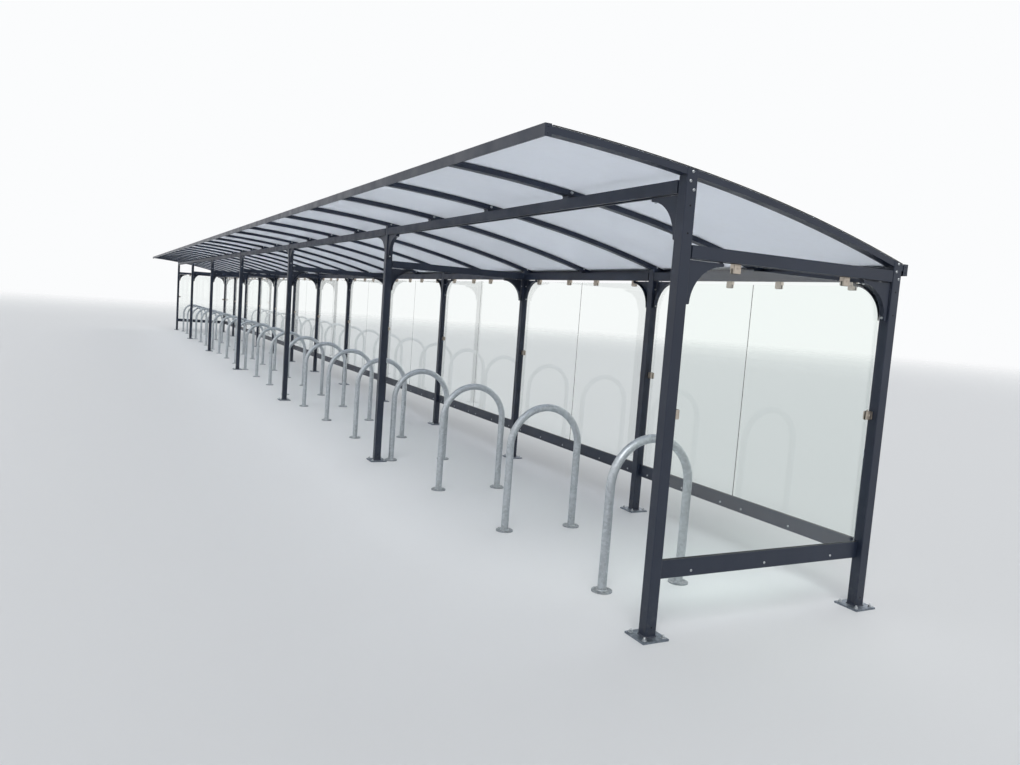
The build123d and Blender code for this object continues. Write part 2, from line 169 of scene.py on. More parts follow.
@dataclass(frozen=True)
class Finish:
    """A surface finish that makes one material.

    The roughness goes up and down by swing, with dull spots swing_mm apart. Passing is the share of the
    light that goes through. Tones lie over each other, the lowest first. Dust reaches dust_mm above the
    foot, and a face counts as a top where its normal points up by top_slope or more.
    """

    name: str
    colour: str
    roughness: float
    swing: float = 0.08
    swing_mm: float = 120.0
    metallic: float = 0.0
    ior: float = 1.5
    passing: float = 0.0
    tones: tuple[Tone, ...] = ()
    grain: Grain | None = None
    dust_mm: float = 260.0
    top_slope: float = 0.75

    def material(self) -> bpy.types.Material:
        """Make the material, or find it if it is there already.

        Returns:
            The material.
        """
        if self.name in bpy.data.materials:
            return bpy.data.materials[self.name]
        made = bpy.data.materials.new(self.name)
        made.use_nodes = True
        tree = made.node_tree
        shader = tree.nodes["Principled BSDF"]
        place = add_node(tree, "ShaderNodeTexCoord", {}).outputs["Object"]
        colour = self.colour
        for share, over in self.layers(tree, place):
            colour = add_node(tree, "ShaderNodeMix", {
                MixSocket.FACTOR: share, MixSocket.FIRST: colour, MixSocket.SECOND: over,
            }, data_type="RGBA").outputs[MixSocket.RESULT]
        feed(tree, shader, {
            "Base Color": colour,
            "Roughness": self.dulled(tree, place),
            "Metallic": self.metallic,
            "IOR": self.ior,
            "Transmission Weight": self.passing,
        })
        self.relieve(tree, place, shader)
        self.extras(tree, shader)
        return made

    def extras(self, tree: Tree, shader: bpy.types.Node) -> None:
        """Add what only this finish has."""

    def layers(self, tree: Tree, place: Socket) -> Layers:
        """Find where each colour lies over the main one.

        Args:
            tree: The material's nodes.
            place: The object's own coordinates.

        Returns:
            Share and colour of each layer, the lowest first.
        """
        found = []
        for tone in self.tones:
            drawn = add_node(tree, "ShaderNodeMapping", {"Vector": place, "Scale": tone.stretch})
            noise = add_node(tree, "ShaderNodeTexNoise", {
                "Vector": drawn.outputs["Vector"], "Scale": 1 / (tone.size_mm * MM), "Detail": tone.detail,
            })
            share = add_node(tree, "ShaderNodeMapRange", {
                "Value": noise.outputs["Fac"],
                "From Min": tone.low, "From Max": tone.high, "To Max": tone.share,
            }).outputs["Result"]
            if tone.spot is not Spot.EVERYWHERE:
                share = add_node(tree, "ShaderNodeMath", {
                    0: share, 1: self.gathered(tree, place, tone.spot),
                }, operation="MULTIPLY").outputs["Value"]
            found.append((share, tone.colour))
        return found

    def gathered(self, tree: Tree, place: Socket, spot: Spot) -> Socket:
        """Find how much of a tone gathers at each point.

        Args:
            tree: The material's nodes.
            place: The object's own coordinates.
            spot: Near the foot or on tops.

        Returns:
            A value from 0 to 1.
        """
        vector, begins, full = place, self.dust_mm * MM, 0.0
        if spot is Spot.ON_TOPS:
            vector = add_node(tree, "ShaderNodeNewGeometry", {}).outputs["Normal"]
            begins, full = self.top_slope, 1.0
        upward = add_node(tree, "ShaderNodeSeparateXYZ", {"Vector": vector}).outputs["Z"]
        return add_node(tree, "ShaderNodeMapRange", {
            "Value": upward, "From Min": begins, "From Max": full,
        }).outputs["Result"]

    def dulled(self, tree: Tree, place: Socket) -> Socket:
        """Vary the roughness in soft spots.

        Args:
            tree: The material's nodes.
            place: The object's own coordinates.

        Returns:
            The roughness.
        """
        noise = add_node(tree, "ShaderNodeTexNoise", {
            "Vector": place, "Scale": 1 / (self.swing_mm * MM), "Detail": 4.0,
        })
        return add_node(tree, "ShaderNodeMapRange", {
            "Value": noise.outputs["Fac"], "From Min": NOISE_LOW, "From Max": NOISE_HIGH,
            "To Min": self.roughness - self.swing, "To Max": self.roughness + self.swing,
        }).outputs["Result"]

    def relieve(self, tree: Tree, place: Socket, shader: bpy.types.Node) -> None:
        """Press the grain into the surface.

        Args:
            tree: The material's nodes.
            place: The object's own coordinates.
            shader: Shader that takes the relief.
        """
        if self.grain is None:
            return
        drawn = add_node(tree, "ShaderNodeMapping", {"Vector": place, "Scale": self.grain.stretch})
        noise = add_node(tree, "ShaderNodeTexNoise", {
            "Vector": drawn.outputs["Vector"], "Scale": 1 / (self.grain.size_mm * MM), "Detail": 2.0,
        })
        bump = add_node(tree, "ShaderNodeBump", {
            "Height": noise.outputs["Fac"],
            "Distance": self.grain.depth_mm * MM, "Strength": self.grain.strength,
        })
        feed(tree, shader, {"Normal": bump.outputs["Normal"]})


@dataclass(frozen=True)
class ClearGlass(Finish):
    """A clear pane whose cut edges look green.

    Its faces look along the axis named across: a face ends and an edge begins where that part of the
    normal passes edge_turn. Lamps that shine through keep the lamp_tint.
    """

    edge: str = "#6fa793"
    across: str = "Y"
    edge_turn: tuple[float, float] = (0.6, 0.4)
    lamp_tint: str = "#eef5f2"

    def layers(self, tree: Tree, place: Socket) -> Layers:
        """Tell the cut edges from the faces by the way that they look.

        Args:
            tree: The material's nodes.
            place: The object's own coordinates.

        Returns:
            Share and colour of the cut edges, and of the layers over them.
        """
        normal = add_node(tree, "ShaderNodeNewGeometry", {}).outputs["Normal"]
        parts = add_node(tree, "ShaderNodeSeparateXYZ", {"Vector": normal})
        flat = add_node(tree, "ShaderNodeMath", {0: parts.outputs[self.across]}, operation="ABSOLUTE")
        cut = add_node(tree, "ShaderNodeMapRange", {
            "Value": flat.outputs["Value"], "From Min": self.edge_turn[0], "From Max": self.edge_turn[1],
        })
        return [(cut.outputs["Result"], self.edge), *super().layers(tree, place)]

    def extras(self, tree: Tree, shader: bpy.types.Node) -> None:
        """Let lamps shine through the pane.

        Args:
            tree: The material's nodes.
            shader: The pane's shader.
        """
        path = add_node(tree, "ShaderNodeLightPath", {})
        clear = add_node(tree, "ShaderNodeBsdfTransparent", {"Color": self.lamp_tint})
        passing = add_node(tree, "ShaderNodeMixShader", {
            0: path.outputs["Is Shadow Ray"], 1: shader.outputs["BSDF"], 2: clear.outputs["BSDF"],
        })
        feed(tree, tree.nodes["Material Output"], {"Surface": passing.outputs["Shader"]})


@dataclass(frozen=True)
class SpangledZinc(Finish):
    """Zinc that froze into crystals spangle_mm wide, in greys from its colour to the dark one."""

    spangle_mm: float = 14.0
    dark: str = "#a9afb4"

    def layers(self, tree: Tree, place: Socket) -> Layers:
        """Break the zinc into its crystals.

        Args:
            tree: The material's nodes.
            place: The object's own coordinates.

        Returns:
            Share and colour of the dark in each crystal, and of the layers over it.
        """
        cells = add_node(tree, "ShaderNodeTexVoronoi", {"Vector": place, "Scale": 1 / (self.spangle_mm * MM)})
        shade = add_node(tree, "ShaderNodeSeparateColor", {"Color": cells.outputs["Color"]})
        return [(shade.outputs["Red"], self.dark), *super().layers(tree, place)]


# Polyester powder coat, stoved on steel: a dark blue grey with a low, even sheen, slightly pebbled
# where a lamp is mirrored, with faint dust on the tops and at the feet. The real pebbles are about
# 1 mm wide and are drawn at 3 mm, so that they show.
POWDER_COAT = Finish(
    "powder_coated_steel_anthracite", "#1c2536", roughness=0.43,
    tones=(
        Tone("#283142", 420.0, 0.5),
        Tone("#66655f", 22.0, 0.2, Spot.NEAR_FOOT, low=0.45, detail=6.0),
        Tone("#6f6e67", 30.0, 0.25, Spot.ON_TOPS, low=0.4, detail=6.0),
    ),
    grain=Grain(size_mm=3.0, depth_mm=0.12, strength=0.3),
)
# Extruded opal polycarbonate: an even milky white that glows when light is behind it, matt below,
# with a little grime gathered along its length.
OPAL = Finish(
    "extruded_opal_polycarbonate", "#e7ebf1",
    roughness=0.7, swing=0.05, swing_mm=900.0, ior=1.58, passing=0.84,
    tones=(
        Tone("#dbdfe6", 700.0, 0.4, stretch=(1.0, 0.25, 1.0)),
        Tone("#d4d5d0", 60.0, 0.12, low=0.5, detail=6.0),
    ),
)
# Toughened float glass: clear and nearly colourless through its face, green where it is cut, with a
# few dull smears that blur what it mirrors.
REAR_GLASS = ClearGlass(
    "toughened_float_glass_rear", "#fafdfb",
    roughness=0.005, swing=0.005, swing_mm=240.0, ior=1.52, passing=1.0,
)
GABLE_GLASS = replace(REAR_GLASS, name="toughened_float_glass_gable", across="X")
# Hot dip galvanised steel: light grey metal in large crystals, dulled by chalky white patches.
DIPPED_ZINC = SpangledZinc(
    "hot_dip_galvanised_steel", "#bfc5ca", roughness=0.44, swing=0.06, swing_mm=60.0, metallic=1.0,
    tones=(
        Tone("#cdd1d4", 70.0, 0.3, low=0.4, high=0.8, detail=3.0),
        Tone("#94928c", 18.0, 0.3, Spot.NEAR_FOOT),
    ),
    grain=Grain(size_mm=5.0, depth_mm=0.12, strength=0.2),
)
# The same coating on the hoop flanges: darker, greyer and a little duller than on the hoops.
DARKER_FLANGE_ZINC = replace(
    DIPPED_ZINC, name="darker_galvanised_steel_flange", colour="#a4aaae", roughness=0.5, dark="#8c9297",
)
# The same coating on the base plates: duller and darker, bluish grey with pale blotches.
DARK_PLATE_ZINC = SpangledZinc(
    "dark_galvanised_steel_plate", "#868e97", roughness=0.56, swing=0.1, swing_mm=30.0, metallic=1.0,
    dark="#6c757f",
    tones=(
        Tone("#b3b9bd", 24.0, 0.4, low=0.52, high=0.75),
        Tone("#4f5357", 9.0, 0.4, low=0.5, detail=6.0),
    ),
    grain=Grain(size_mm=4.0, depth_mm=0.2, strength=0.3),
)
# Stainless steel brushed with a belt: warm grey metal with fine upright lines that stretch its
# highlights. The real lines are under 0.1 mm wide and are drawn at 1.2 mm, so that they show.
UPRIGHT_LINES = (1.0, 1.0, 0.04)
BRUSHED_STAINLESS = Finish(
    "belt_brushed_stainless_steel", "#c6bbae", roughness=0.36, swing_mm=30.0, metallic=1.0,
    tones=(Tone("#aba196", 1.2, 0.5, stretch=UPRIGHT_LINES),),
    grain=Grain(size_mm=1.2, depth_mm=0.05, strength=0.3, stretch=UPRIGHT_LINES),
)
# Electroplated zinc on the fixings: small bright grey heads, a little streaked.
PLATED_ZINC = Finish(
    "zinc_plated_steel_fixings", "#bfc3c6", roughness=0.34, swing=0.1, swing_mm=8.0, metallic=1.0,
    tones=(Tone("#8e9295", 6.0, 0.5),),
)
# Extruded EPDM rubber: matt black with a grey bloom.
BLACK_RUBBER = Finish(
    "extruded_epdm_rubber", "#17181a", roughness=0.72, swing_mm=20.0,
    tones=(Tone("#3a3b3c", 9.0, 0.5),),
    grain=Grain(size_mm=9.0, depth_mm=0.1, strength=0.3),
)
# The unlit inside of a drilled hole: near black, with nothing mirrored.
DRILLED_HOLE = Finish(
    "drilled_hole_in_steel", "#0c0d0f", roughness=0.9, swing=0.05, swing_mm=5.0,
    tones=(Tone("#1c1e20", 3.0, 0.5),),
)


class Slot(Enum):
    """Material slots of the record that pieces use."""

    FRAME = "painted_frame"
    ZINC = "galvanised_steel"
    CLAMP = "stainless_clamps"
    RUBBER = "black_rubber"


# Shapes that fixings are made of


def along(axis: int, length: float) -> Vector:
    """Vector of a given length along axis 0, 1 or 2."""
    return Vector([length if number == axis else 0.0 for number in range(3)])


def on_circle(radius: float, angle: float, height: float = 0.0) -> Vector:
    """Point at an angle, in radians, on a level circle about the Z axis."""
    return Vector((radius * math.cos(angle), radius * math.sin(angle), height))


def circle(radius: float, count: int) -> list[Vector]:
    """Points spaced evenly on a circle about the Z axis, anticlockwise."""
    return [on_circle(radius, 2 * math.pi * i / count) for i in range(count)]


@dataclass
class Shape:
    """Points in metres, and the numbers of each face's points, standing along +Z."""

    points: list[Vector] = field(default_factory=list)
    faces: list[tuple[int, ...]] = field(default_factory=list)

    def take(self, other: "Shape", matrix: Matrix = HERE) -> "Shape":
        """Take in a copy of another shape.

        Args:
            other: The other shape.
            matrix: Where the copy goes.

        Returns:
            This shape.
        """
        start = len(self.points)
        self.points.extend(matrix @ point for point in other.points)
        self.faces.extend(tuple(i + start for i in face) for face in other.faces)
        return self


def stack(loops: list[list[Vector]], capped: bool = True) -> Shape:
    """Join closed loops of as many points each.

    Args:
        loops: Loops from the lowest to the highest.
        capped: Whether both ends are closed.

    Returns:
        The form.
    """
    count = len(loops[0])
    last = (len(loops) - 1) * count
    faces = [tuple(reversed(range(count)))] if capped else []
    for low in range(0, last, count):
        for i in range(count):
            j = (i + 1) % count
            faces.append((low + i, low + j, low + count + j, low + count + i))
    if capped:
        faces.append(tuple(range(last, last + count)))
    return Shape([point for loop in loops for point in loop], faces)


class Outline(Enum):
    """Plan of one ring of a turned form."""

    ROUND = "round"
    HEXAGON = "hexagon"


@dataclass(frozen=True)
class Ring:
    """One ring of a turned form: its half width, its height and its plan."""

    radius: float
    height: float
    outline: Outline = Outline.ROUND


CHAMFER_SLOPE = math.tan(math.radians(30))
TURN_SIDES = 24
SIXTH = math.pi / 3


def hexagon_reach(angle: float, half_flats: float) -> float:
    """Distance from the centre of a hexagon to its side at an angle."""
    off = (angle + SIXTH / 2) % SIXTH - SIXTH / 2
    return half_flats / math.cos(off)


def turned(rings: Sequence[Ring]) -> Shape:
    """Build a form from rings about its axis.

    A hexagon above the lowest ring is chamfered: it drops where its corners stand out.

    Args:
        rings: Rings from the foot to the top.

    Returns:
        The closed form.
    """
    loops = []
    for ring in rings:
        loop = []
        for i in range(TURN_SIDES):
            angle = 2 * math.pi * i / TURN_SIDES
            radius, drop = ring.radius, 0.0
            if ring.outline is Outline.HEXAGON:
                radius = hexagon_reach(angle, ring.radius)
                if ring.height > rings[0].height:
                    drop = (radius - ring.radius) * CHAMFER_SLOPE
            loop.append(on_circle(radius, angle, ring.height - drop))
        loops.append(loop)
    return stack(loops)


# Least radius of a plate's inset corner, as a share of the full corner.
LEAST_CORNER = 0.2


def rounded_plate(
    width: float, depth: float, corner: float, levels: Sequence[tuple[float, float]], steps: int = 4
) -> Shape:
    """Build a plate with round corners from its inset at each level.

    Args:
        width: Size along X.
        depth: Size along Y.
        corner: Radius of the corners.
        levels: Pairs of inset and height, from the lowest.
        steps: Divisions of each corner.

    Returns:
        The closed form.
    """
    loops = []
    for inset, height in levels:
        radius = max(corner - inset, corner * LEAST_CORNER)
        reach_x = width / 2 - inset - radius
        reach_y = depth / 2 - inset - radius
        loop = []
        for quarter, (x, y) in enumerate(((1, 1), (-1, 1), (-1, -1), (1, -1))):
            centre = Vector((x * reach_x, y * reach_y, height))
            for step in range(steps + 1):
                loop.append(centre + on_circle(radius, math.pi / 2 * (quarter + step / steps)))
        loops.append(loop)
    return stack(loops)


# Bevel of a washer, as a share of its thickness.
WASHER_BEVEL = 0.25
# Radius and rise of the flat top of a hexagon head, as shares of the size across its flats.
CROWN_REACH, CROWN_RISE = 0.46, 0.02


@dataclass(frozen=True)
class HexHead:
    """Hexagon head, measured across its flats, on a washer of its own thickness."""

    flats: float
    height: float
    washer: float
    thickness: float

    def shape(self) -> Shape:
        """Build washer and head.

        Returns:
            The form, standing on the washer's face.
        """
        radius, edge = self.washer / 2, self.thickness * WASHER_BEVEL
        top = self.thickness + self.height
        disc = turned([
            Ring(radius, 0.0), Ring(radius, self.thickness - edge), Ring(radius - edge, self.thickness),
        ])
        return disc.take(turned([
            Ring(self.flats / 2, self.thickness, Outline.HEXAGON),
            Ring(self.flats / 2, top, Outline.HEXAGON),
            Ring(self.flats * CROWN_REACH, top + self.flats * CROWN_RISE),
        ]))


@dataclass(frozen=True)
class AnchorNut(HexHead):
    """Nut on its washer, with the end of the anchor's stud standing out of it.

    The stud's thread is as deep as thread and begins inside the nut, where it is sunk.
    """

    stud: float
    stand: float
    pitch: float = 1.75 * MM
    thread: float = 0.6 * MM
    sunk: float = 0.5 * MM

    def shape(self) -> Shape:
        """Build washer, nut and stud end.

        Returns:
            The form, standing on the washer's face.
        """
        foot = self.thickness + self.height - self.sunk
        radius = self.stud / 2
        rings = [Ring(radius, foot)]
        for turn in range(int(self.stand / self.pitch)):
            level = foot + turn * self.pitch
            rings.append(Ring(radius - self.thread, level + self.pitch / 2))
            rings.append(Ring(radius, level + self.pitch))
        rings.append(Ring(radius - 2 * self.thread, foot + self.stand + self.pitch))
        return super().shape().take(turned(rings))


@dataclass(frozen=True)
class ButtonScrew:
    """Domed screw head with a hexagon socket.

    Its dome has a ring at each of the angles. The well pairs shares of the socket's half width and
    of the head's height.
    """

    diameter: float
    height: float
    socket: float
    dome: tuple[float, ...] = (0.0, 0.45, 0.85, 1.15)
    well: Pairs = ((1.25, 1.0), (1.0, 0.94), (1.0, 0.35))

    def shape(self) -> Shape:
        """Build the head.

        Returns:
            The form, standing on its own face.
        """
        radius = self.diameter / 2
        dome = [Ring(radius * math.cos(angle), self.height * math.sin(angle)) for angle in self.dome]
        rim, *well = [(self.socket / 2 * wide, self.height * high) for wide, high in self.well]
        return turned([*dome, Ring(*rim), *(Ring(*level, Outline.HEXAGON) for level in well)])


# Shares of radius and rise that dome the near-black disc of painted shade that stands for a drilled hole.
PLUG_DOME = ((1.0, 0.0), (0.96, 0.6), (0.6, 1.0))


def hole_shade_disc(diameter: float, rise: float) -> Shape:
    """Build the shallow domed disc of painted shade that stands for an open drilled hole."""
    return turned([Ring(diameter / 2 * wide, rise * high) for wide, high in PLUG_DOME])


def square_path(half: float, corner: float, steps: int, corner_steps: int = 4) -> list[Vector]:
    """Points round a square with round corners.

    Args:
        half: Half the square's side.
        corner: Radius of its corners.
        steps: Points along each side.
        corner_steps: Points round each corner.

    Returns:
        The points, anticlockwise.
    """
    straight = half - corner
    middle = Vector((straight, straight, 0.0))
    side = [Vector((half, -straight + 2 * straight * i / steps, 0.0)) for i in range(steps)]
    side += [middle + on_circle(corner, math.pi / 2 * i / corner_steps) for i in range(corner_steps)]
    turns = [Matrix.Rotation(math.pi / 2 * quarter, 3, "Z") for quarter in range(4)]
    return [turn @ point for turn in turns for point in side]


@dataclass(frozen=True)
class Weld:
    """Rippled fillet weld.

    Ripple and unevenness are shares of the leg, and the ripple turns on by ripple_turn radians between
    two points. The profile holds shares of the leg outward and upward, from its outer edge inward.
    """

    leg: float
    ripple: float = 0.16
    ripple_turn: float = 2.1
    unevenness: float = 0.1
    profile: Pairs = ((1.0, 0.0), (0.92, 0.22), (0.5, 0.62), (0.16, 0.95), (-0.1, 1.0))

    def bead(self, path: list[Vector], draw: random.Random) -> Shape:
        """Build a bead round a closed path.

        Args:
            path: Points of the path, anticlockwise, at the foot of the joined wall.
            draw: Source of the unevenness.

        Returns:
            The bead, open underneath where it meets the plate.
        """
        count = len(path)
        swell = [
            1.0 + self.ripple * math.sin(self.ripple_turn * i)
            + draw.uniform(-self.unevenness, self.unevenness)
            for i in range(count)
        ]
        runs = [path[(i + 1) % count] - path[i - 1] for i in range(count)]
        outward = [Vector((run.y, -run.x, 0.0)).normalized() for run in runs]
        loops = []
        for out, high in self.profile:
            loops.append([
                point + side * (self.leg * out * size) + UP * (self.leg * high * size)
                for point, side, size in zip(path, outward, swell)
            ])
        return stack(loops, capped=False)


# Reading the frame


@dataclass(frozen=True)
class Block:
    """Box of one solid of a node, at rest, in metres."""

    low: Vector
    high: Vector

    @property
    def middle(self) -> Vector:
        """Centre of the box."""
        return (self.low + self.high) / 2

    @property
    def top(self) -> Vector:
        """Middle of the box's upper face."""
        return Vector((self.middle.x, self.middle.y, self.high.z))

    def end(self, axis: int, side: int) -> float:
        """Where the box ends along an axis, on the side of -1 or 1."""
        return self.high[axis] if side > 0 else self.low[axis]


class Node:
    """One node of the frame: its solids' boxes and its surface."""

    def __init__(self, name: str) -> None:
        """Take the node's mesh from the frame.

        Args:
            name: Name of the node.
        """
        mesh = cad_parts[name].data
        self.name = name
        self.points = [vertex.co.copy() for vertex in mesh.vertices]
        self.polygons = [tuple(polygon.vertices) for polygon in mesh.polygons]
        self.tree = BVHTree.FromPolygons(self.points, self.polygons)

    def solids(self) -> list[Block]:
        """Find the boxes of the node's solids.

        Returns:
            The boxes, sorted along X and then Y.
        """
        corners = [tuple(round(c, 5) for c in point) for point in self.points]
        linked: dict[tuple, set[tuple]] = {}
        for polygon in self.polygons:
            shared = {corners[i] for i in polygon}
            for corner in shared:
                linked.setdefault(corner, set()).update(shared)
        blocks = []
        while linked:
            members, waiting = [], [next(iter(linked))]
            while waiting:
                corner = waiting.pop()
                if corner in linked:
                    members.append(corner)
                    waiting.extend(linked.pop(corner))
            low = Vector([min(values) for values in zip(*members)])
            high = Vector([max(values) for values in zip(*members)])
            blocks.append(Block(low, high))
        return sorted(blocks, key=lambda b: (round(b.middle.x, 3), round(b.middle.y, 3), b.middle.z))

    def meet(self, start: Vector, way: Vector, reach: float = 0.5) -> tuple[Vector, Vector] | None:
        """Find where a straight line first meets the node.

        Args:
            start: Point that the line starts from.
            way: Direction of the line.
            reach: Longest distance to look.

        Returns:
            The point and the outward normal there, or None.
        """
        point, normal, _, _ = self.tree.ray_cast(start, way.normalized(), reach)
        if point is None:
            return None
        return point, (normal if normal.dot(way) < 0 else -normal)


def run_from_post(block: Block, posts: list[Block], axis: int) -> int:
    """Say which way a bracket or a clamp runs from its post.

    Args:
        block: Its box.
        posts: Boxes of the posts that it may be on.
        axis: 0 where it runs along X, 1 where it runs along Y.

    Returns:
        1 where it runs towards the axis's plus side, or -1.
    """
    post = min(posts, key=lambda p: (p.middle.xy - block.middle.xy).length)
    return 1 if block.middle[axis] > post.middle[axis] else -1


def facing(point: Vector, normal: Vector, spin: float = 0.0) -> Matrix:
    """Matrix that stands a shape on a surface.

    Args:
        point: Where the shape's origin goes.
        normal: Direction that the shape's +Z takes.
        spin: Turn about the shape's own axis, in radians.

    Returns:
        The matrix.
    """
    turn = normal.to_track_quat("Z", "Y").to_matrix().to_4x4()
    return Matrix.Translation(point) @ turn @ Matrix.Rotation(spin, 4, "Z")


def add_object(name: str, data: bpy.types.ID, matrix: Matrix = HERE) -> bpy.types.Object:
    """Put an object into the scene.

    Args:
        name: Name of the object.
        data: Its mesh, camera or lamp.
        matrix: Where it stands.

    Returns:
        The object.
    """
    made = bpy.data.objects.new(name, data)
    made.matrix_world = matrix
    bpy.context.scene.collection.objects.link(made)
    return made


# Faces that meet at more than this are shaded with an edge between them.
EDGE_ANGLE = math.radians(35)


@dataclass
class Piece:
    """A joined mesh of many placed shapes."""

    name: str
    finish: Finish = PLATED_ZINC
    slot: Slot = Slot.ZINC
    form: Shape = field(default_factory=Shape)

    def put(self, shape: Shape, matrix: Matrix = HERE) -> None:
        """Place a copy of a shape."""
        self.form.take(shape, matrix)

    def seat(self, shape: Shape, node: Node, start: Vector, way: Vector) -> None:
        """Stand a shape where a straight line meets a node's surface.

        Args:
            shape: The shape.
            node: The node.
            start: Point that the line starts from.
            way: Direction of the line.
        """
        met = node.meet(start, way)
        if met:
            self.put(shape, facing(*met))
        else:
            log.warning("%s: nothing of %s at %s", self.name, node.name, tuple(start))

    def build(self) -> None:
        """Make the mesh, dress it and let it ride on the frame."""
        mesh = bpy.data.meshes.new(self.name)
        mesh.from_pydata(self.form.points, [], self.form.faces)
        mesh.materials.append(self.finish.material())
        mesh.validate()
        mesh.update()
        mesh.shade_smooth()
        mesh.set_sharp_from_angle(angle=EDGE_ANGLE)
        made = add_object(self.name, mesh)
        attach(made, "root")
        log.info("%s: %d faces", self.name, len(mesh.polygons))


# Sub-assemblies


@dataclass
class Frame:
    """Finishes of the nodes that the frame brings.

    Those in bare, named without their numbers, aren't powder coated.
    """

    bare: dict[str, Finish] = field(default_factory=lambda: {
        "roof_sheets_bay": OPAL,
        "rear_glass_bay": REAR_GLASS,
        "gable_glass": GABLE_GLASS,
        "glass_gaskets": BLACK_RUBBER,
        "rear_top_clamps": BRUSHED_STAINLESS,
        "rear_side_clamps": BRUSHED_STAINLESS,
        "gable_top_clamps": BRUSHED_STAINLESS,
        "gable_side_clamps": BRUSHED_STAINLESS,
        "base_plates": DARK_PLATE_ZINC,
        "hoop_flanges": DARKER_FLANGE_ZINC,
        "bike_hoops": DIPPED_ZINC,
    })

    def build(self) -> None:
        """Give every node its material."""
        for name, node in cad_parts.items():
            finish = self.bare.get(name.rstrip("_0123456789"), POWDER_COAT)
            node.data.materials.clear()
            node.data.materials.append(finish.material())
            log.info("%s: %s", name, finish.name)


@dataclass
class Anchors:
    """What holds the posts and the hoops down, and the welds at their feet.

    Nuts stand nut_offset each way from the middle of their plate, and bolts on a circle of the radius
    bolt_circle, from the angle first_bolt on. Steps are points of a weld's path, along each side of a
    post and round a tube.
    """

    nut: AnchorNut = AnchorNut(
        flats=17 * MM, height=8 * MM, washer=24 * MM, thickness=2.5 * MM, stud=10 * MM, stand=6 * MM,
    )
    nut_offset: float = 55 * MM
    bolt: HexHead = HexHead(13 * MM, 5.5 * MM, washer=17 * MM, thickness=1.6 * MM)
    bolts: int = 3
    bolt_circle: float = 43 * MM
    first_bolt: float = math.pi / 2
    weld: Weld = Weld(leg=5.5 * MM)
    post_size: float = 60 * MM
    post_corner: float = 4 * MM
    post_steps: int = 18
    tube_radius: float = 25 * MM
    tube_steps: int = 48

    def heads(self) -> None:
        """Stand a nut over every anchor hole of the base plates, and bolts on every round flange."""
        each_way = (-self.nut_offset, self.nut_offset)
        corners = [Vector((x, y, 0.0)) for x in each_way for y in each_way]
        angles = [self.first_bolt + 2 * math.pi * k / self.bolts for k in range(self.bolts)]
        around = [on_circle(self.bolt_circle, angle) for angle in angles]
        for name, plates, head, places, seed in (
            ("post_anchors", "base_plates", self.nut, corners, Seed.NUTS),
            ("hoop_anchors", "hoop_flanges", self.bolt, around, Seed.BOLTS),
        ):
            piece, shape, draw = Piece(name), head.shape(), random.Random(seed)
            for plate in Node(plates).solids():
                for place in places:
                    piece.put(shape, facing(plate.top + place, UP, draw.random()))
            piece.build()

    def welds(self) -> None:
        """Run a weld bead round the foot of every post and every hoop leg."""
        draw = random.Random(Seed.WELDS)
        square = square_path(self.post_size / 2, self.post_corner, self.post_steps)
        tube = circle(self.tube_radius, self.tube_steps)
        for piece, name, path in (
            (Piece("post_welds", POWDER_COAT, Slot.FRAME), "base_plates", square),
            (Piece("hoop_welds", DIPPED_ZINC), "hoop_flanges", tube),
        ):
            for plate in Node(name).solids():
                piece.put(self.weld.bead(path, draw), Matrix.Translation(plate.top))
            piece.build()

    def build(self) -> None:
        """Make nuts, bolts and welds."""
        self.heads()
        self.welds()


@dataclass
class PostFixings:
    """Bolts through the heads of the posts, and the open holes beside them.

    Every drop is measured down from the post's top. Plate bolts, by their shift along Y and their drop,
    and access holes are on the gables' outer faces only. Each hole is drawn as a near-black disc of
    painted shade, which stands out by hole_rise.
    """

    bolt: ButtonScrew = ButtonScrew(diameter=15 * MM, height=5 * MM, socket=6 * MM)
    arch_bolt_drop: float = 16 * MM
    plate_bolts: Pairs = ((-10 * MM, 58 * MM), (12 * MM, 96 * MM))
    hole: float = 9 * MM
    hole_rise: float = 0.7 * MM
    hole_drops: tuple[float, ...] = (167 * MM, 291 * MM)
    drain_height: float = 58 * MM

    def build(self) -> None:
        """Put bolts and hole plugs on the posts' side faces."""
        bolts = Piece("post_head_bolts")
        # Near-black discs of painted shade stand for the open holes in the posts.
        hole_shades = Piece("post_holes", DRILLED_HOLE, Slot.RUBBER)
        head = self.bolt.shape()
        hole = hole_shade_disc(self.hole, self.hole_rise)
        for name in ("front_posts", "rear_posts"):
            node = Node(name)
            posts = node.solids()
            outer_sides = {0: -1, len(posts) - 1: 1}
            for number, post in enumerate(posts):
                for side in (-1, 1):
                    way = along(0, -side)
                    start = post.top - way * SEARCH
                    bolts.seat(head, node, start - UP * self.arch_bolt_drop, way)
                    if outer_sides.get(number) != side:
                        continue
                    for shift, drop in self.plate_bolts:
                        bolts.seat(head, node, start + Vector((0.0, shift, -drop)), way)
                    for drop in self.hole_drops:
                        hole_shades.seat(hole, node, start - UP * drop, way)
                foot = Vector((post.middle.x + SEARCH, post.middle.y, self.drain_height))
                hole_shades.seat(hole, node, foot, along(0, -1))
        bolts.build()
        hole_shades.build()


